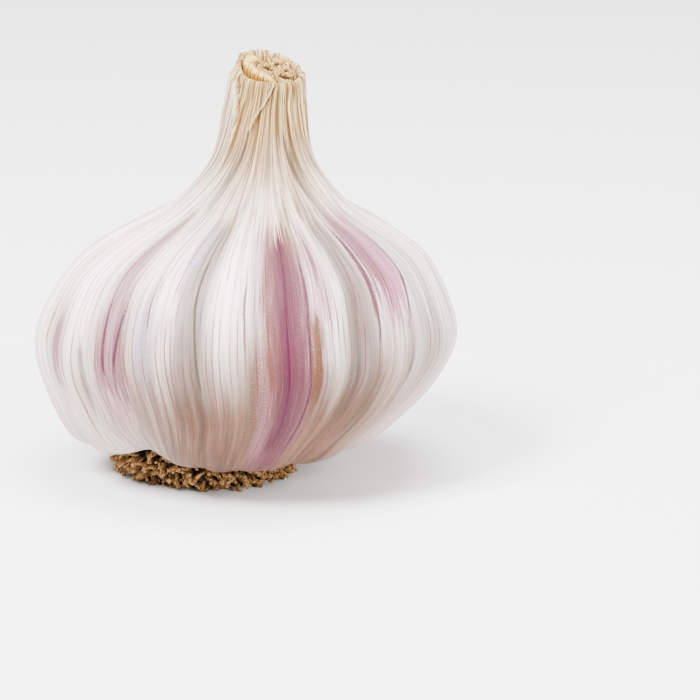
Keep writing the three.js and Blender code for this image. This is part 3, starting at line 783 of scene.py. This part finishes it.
# Painted shadow in creases and pleats, and painted highlight and shadow along the torn leaf edges
crease_tint = t.mix(neck, (0.16, 0.125, 0.11), (0.105, 0.048, 0.009))
colour = t.mix(product(t.step(crease, 0.30, 0.85), 0.75), colour, crease_tint)
mark = t.node("Attribute", attribute_name="torn_edge").outputs["Fac"]
colour = t.mix(product(t.step(mark, 0.1, 0.9), 0.8), colour, (0.90, 0.72, 0.48))
colour = t.mix(product(t.step(mark, -0.1, -0.9), 0.8), colour, (0.09, 0.038, 0.008))
t.put(shader.inputs["Base Color"], colour)
t.put(shader.inputs["Roughness"], t.math("ADD", 0.36, product(fine, 0.2)))
shader.inputs["Specular IOR Level"].default_value = 0.12
shader.inputs["Subsurface Weight"].default_value = 0.1
shader.inputs["Subsurface Radius"].default_value = (0.004, 0.003, 0.0025)
shader.inputs["Subsurface Scale"].default_value = 0.4
relief = t.math("ADD", product(fine, 0.5), product(fibres["Broad"], 0.8))
relief = t.math("SUBTRACT", relief, product(fibres["Veins"], 0.3))
relief = t.math("ADD", relief, product(grain, 0.12))
bump = t.node("Bump", {"Height": relief, "Strength": 0.7, "Distance": 0.0004})
t.put(shader.inputs["Normal"], bump.outputs[0])
skin.data.materials.append(skin_material)

# %% [markdown]
# ## Cut and roots
# The cut leaf bases are straw coloured, with painted shade in their holes; the roots are brown
# wood, with painted shade near the plate. These finishes come from noise in the object's own
# coordinates, and a value stored on the mesh paints shade where a place lies deep: in the holes
# and pits of the cut, on the sides and between the ribs of the rolled leaf, and low on the roots.

# %% Sheath, core and root materials
def noisy_material(name, dark, mid, light, scale, roughness, relief_mm):
    """Three colours mixed by noise, then painted shade in the dark colour where the tip value is
    low.
    """
    material, t, shader = new_material(name)
    position = t.node("TexCoord").outputs["Object"]
    to_mm = {0: position, 1: (1 / MM, 1 / MM, 1 / MM)}
    scaled = t.node("VectorMath", to_mm, operation="MULTIPLY").outputs[0]
    coarse = t.noise(scaled, scale, detail=4, roughness=0.6)
    fine = t.noise(scaled, scale * 4, detail=2)
    colour = t.mix(t.step(coarse, 0.3, 0.55), dark, mid)
    colour = t.mix(t.step(fine, 0.45, 0.75), colour, light)
    tip = t.node("Attribute", attribute_name="tip").outputs["Fac"]
    # painted shade where the stored tip value is low
    colour = t.mix(t.step(tip, 0.75, 0.15), colour, dark)
    t.put(shader.inputs["Base Color"], colour)
    t.put(shader.inputs["Roughness"], t.math("ADD", roughness, t.math("MULTIPLY", fine, 0.15)))
    shader.inputs["Specular IOR Level"].default_value = 0.2
    relief = t.math("ADD", coarse, fine)
    bump = t.node("Bump", {"Height": relief, "Strength": 0.6, "Distance": relief_mm * MM})
    t.put(shader.inputs["Normal"], bump.outputs[0])
    return material


# name, dark, middle and light colour, noise scale per mm, roughness, relief in mm
sheath.data.materials.append(noisy_material(
    "sheath_leaf", (0.24, 0.105, 0.008), (0.58, 0.36, 0.08), (0.88, 0.66, 0.24), 1.2, 0.5, 0.15))
core.data.materials.append(noisy_material(
    "stem_grain", (0.040, 0.012, 0.001), (0.38, 0.20, 0.045), (0.88, 0.63, 0.25), 1.3, 0.7, 0.35))
roots.data.materials.append(noisy_material(
    "root_wood", (0.016, 0.006, 0.002), (0.22, 0.10, 0.03), (0.55, 0.33, 0.14), 0.9, 0.75, 0.2))

for piece, node, slot in ((skin, "bulb", "skin"), (sheath, "inner_sheath", "sheath"),
                          (core, "stem_core", "stem"), (roots, "root_tuft", "root")):
    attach(piece, "root")
    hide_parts(node)

# %% [markdown]
# ## Floor, light and camera
# A pale floor, one large soft light from the upper left front, a weaker fill from the right and a
# bright surround, seen from 15 degrees above the horizon with a long lens.

# %% Stage
bpy.ops.mesh.primitive_plane_add(size=12)
floor = bpy.context.object
floor.name = "floor"
floor_material, t, shader = new_material("floor_white")
shader.inputs["Base Color"].default_value = (0.9, 0.9, 0.9, 1)
shader.inputs["Roughness"].default_value = 0.8
floor.data.materials.append(floor_material)


def area_light(name, location, size, power, aim=(0.006, 0, 0.03)):
    light = bpy.data.lights.new(name, "AREA")
    light.size, light.energy = size, power
    obj = bpy.data.objects.new(name, light)
    bpy.context.scene.collection.objects.link(obj)
    obj.location = location
    direction = np.array(location) - np.array(aim)
    yaw = math.atan2(direction[0], -direction[1])
    obj.rotation_euler = (math.acos(direction[2] / np.linalg.norm(direction)), 0, yaw)
    return obj


area_light("key", (-0.38, -0.40, 0.66), 0.30, 32.0)
area_light("fill", (0.5, -0.3, 0.25), 0.4, 8.0)
area_light("top", (0.08, -0.02, 0.8), 0.5, 20.0)
world = bpy.data.worlds.new("surround")
bpy.context.scene.world = world
world.use_nodes = True
world.node_tree.nodes["Background"].inputs[0].default_value = (1, 1, 1, 1)
world.node_tree.nodes["Background"].inputs[1].default_value = 0.46

PX_PER_MM, LENS, SENSOR, ELEVATION = 6.87, 200.0, 36.0, math.radians(15)
TARGET = np.array([20.8, 0.0, 17.9]) * MM
camera_distance = LENS / SENSOR * 700 / PX_PER_MM * MM
camera_data = bpy.data.cameras.new("camera")
camera_data.lens, camera_data.sensor_width = LENS, SENSOR
camera = bpy.data.objects.new("camera", camera_data)
bpy.context.scene.collection.objects.link(camera)
towards_camera = np.array([0, -math.cos(ELEVATION), math.sin(ELEVATION)])
camera.location = TARGET + camera_distance * towards_camera
camera.rotation_euler = (math.pi / 2 - ELEVATION, 0, 0)
bpy.context.scene.camera = camera
